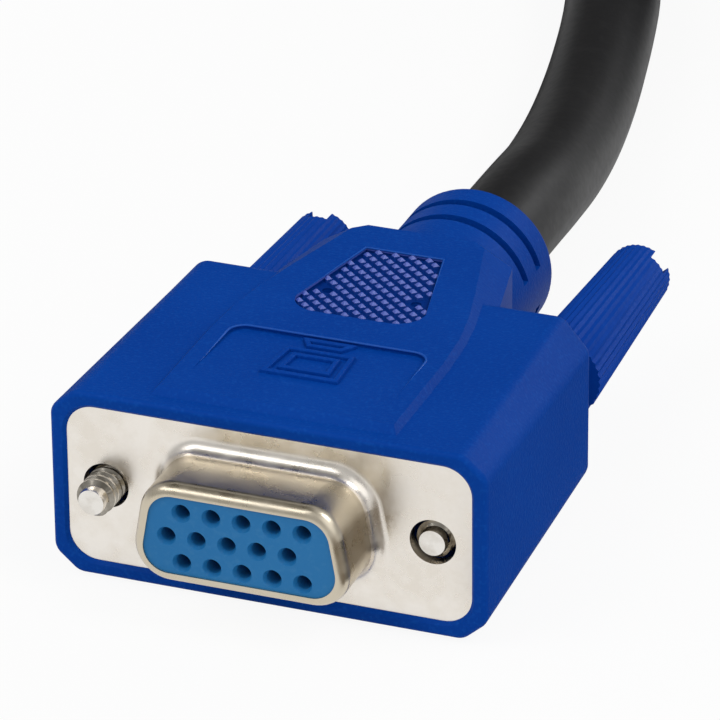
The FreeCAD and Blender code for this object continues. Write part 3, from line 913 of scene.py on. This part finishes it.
# studio: white sweep, soft lamps and a pale world
studio = {
    "floorSize": (6.0, 6.0),
    "floorPlace": (0, 0, -0.0001),
    "floorTone": (0.8, 0.8, 0.8),
    "floorRough": 0.9,
    "floorGlow": {"seen": 0.92, "mirrored": 0.7},
    "worldGlow": {"lit": 0.45, "mirrored": 0.4},
    "lamps": [
        {"name": "keyLamp", "place": (-0.55, -0.55, 0.9), "size": 0.7, "power": 4.2},
        {"name": "topLamp", "place": (0.55, -0.06, 0.78), "size": 0.3, "power": 2.2},
        {"name": "fillLamp", "place": (0.7, -0.6, 0.5), "size": 0.8, "power": 1.6},
        {"name": "rimLamp", "place": (0.4, 0.85, 0.4), "size": 0.4, "power": 1.4},
    ],
    "flatBelow": 0.1,  # cards lower than this lie flat, and the others face the part
    "cards": [
        {"name": "backCard", "place": (-0.28, 0.65, 0.39), "size": (1.1, 0.75), "tone": (0.02, 0.017, 0.012)},
        {"name": "overCard", "place": (-0.29, -0.12, 0.72), "size": (0.6, 0.6), "tone": (0.05, 0.04, 0.022)},
        # flat cards on the floor beside the part: painted shade that only reflections show
        {
            "name": "sideShadeCard",
            "place": (0.0475, 0.015, 0.0003),
            "size": (0.061, 0.09),
            "tone": (0.02, 0.018, 0.016),
        },
        {
            "name": "rearShadeCard",
            "place": (-0.045, 0.05, 0.0003),
            "size": (0.08, 0.1),
            "tone": (0.02, 0.018, 0.016),
        },
        {
            "name": "nearShadeCard",
            "place": (0.036, -0.052, 0.0003),
            "size": (0.046, 0.05),
            "tone": (0.16, 0.125, 0.085),
        },
    ],
}


# share of white by the kind of ray: seen directly or through glass, or mirrored
def whiteRays(tree, seen, mirrored):
    rays = addNode(tree, "ShaderNodeLightPath")
    shares = []
    for name, share in (("Is Camera Ray", seen), ("Is Transmission Ray", seen), ("Is Glossy Ray", mirrored)):
        scaled = addNode(tree, "ShaderNodeMath", operation="MULTIPLY")
        scaled.inputs[1].default_value = share
        tree.links.new(rays.outputs[name], scaled.inputs[0])
        shares.append(scaled.outputs["Value"])
    first = addNode(tree, "ShaderNodeMath", operation="MAXIMUM")
    second = addNode(tree, "ShaderNodeMath", operation="MAXIMUM")
    tree.links.new(shares[0], first.inputs[0])
    tree.links.new(shares[1], first.inputs[1])
    tree.links.new(first.outputs["Value"], second.inputs[0])
    tree.links.new(shares[2], second.inputs[1])
    return second.outputs["Value"]


def addSheet(name, size, place, material):
    wide, high = size
    shape = bmesh.new()
    bmesh.ops.create_grid(shape, x_segments=1, y_segments=1, size=0.5)
    bmesh.ops.scale(shape, vec=(wide, high, 1), verts=shape.verts)
    mesh = bpy.data.meshes.new(name)
    shape.to_mesh(mesh)
    shape.free()
    mesh.materials.append(material)
    sheet = bpy.data.objects.new(name, mesh)
    bpy.context.collection.objects.link(sheet)
    sheet.location = place
    return sheet


def addFloor():
    material, tree, shader = newMaterial("whiteSweep")
    shader.inputs["Base Color"].default_value = studio["floorTone"] + (1,)
    shader.inputs["Roughness"].default_value = studio["floorRough"]
    glow = addNode(tree, "ShaderNodeEmission")
    glow.inputs["Strength"].default_value = 1
    mix = addNode(tree, "ShaderNodeMixShader")
    tree.links.new(whiteRays(tree, **studio["floorGlow"]), mix.inputs["Fac"])
    tree.links.new(shader.outputs["BSDF"], mix.inputs[1])
    tree.links.new(glow.outputs["Emission"], mix.inputs[2])
    tree.links.new(mix.outputs["Shader"], tree.nodes["Material Output"].inputs["Surface"])
    floor = addSheet("floorSheet", studio["floorSize"], studio["floorPlace"], material)


# dark cards that only reflections show: the standing ones like a photographer's flags, and the flat ones on
# the floor beside the part as painted shade
def addCards():
    for card in studio["cards"]:
        material, _, shader = newMaterial(card["name"])
        shader.inputs["Base Color"].default_value = card["tone"] + (1,)
        shader.inputs["Roughness"].default_value = 1
        flag = addSheet(card["name"], card["size"], card["place"], material)
        if flag.location.z > studio["flatBelow"]:
            flag.rotation_euler = (-flag.location).to_track_quat("Z", "Y").to_euler()
        flag.visible_camera = False
        flag.visible_diffuse = False
        flag.visible_shadow = False


def addWorld():
    world = bpy.data.worlds.new("studioWorld")
    world.use_nodes = True
    bpy.context.scene.world = world
    tree = world.node_tree
    lit, mirrored = studio["worldGlow"]["lit"], studio["worldGlow"]["mirrored"]
    strength = addNode(tree, "ShaderNodeMath", operation="MAXIMUM")
    strength.inputs[1].default_value = lit
    tree.links.new(whiteRays(tree, 1, mirrored), strength.inputs[0])
    background = tree.nodes["Background"]
    background.inputs["Color"].default_value = (1, 1, 1, 1)
    tree.links.new(strength.outputs["Value"], background.inputs["Strength"])


def addLamps():
    for lamp in studio["lamps"]:
        data = bpy.data.lights.new(lamp["name"], "AREA")
        data.energy = lamp["power"]
        data.size = lamp["size"]
        light = bpy.data.objects.new(lamp["name"], data)
        light.location = lamp["place"]
        light.rotation_euler = (-Vector(lamp["place"])).to_track_quat("-Z", "Y").to_euler()
        bpy.context.collection.objects.link(light)


addFloor()
addCards()
addWorld()
addLamps()
bpy.context.scene.view_settings.view_transform = "Standard"
print("studio set")
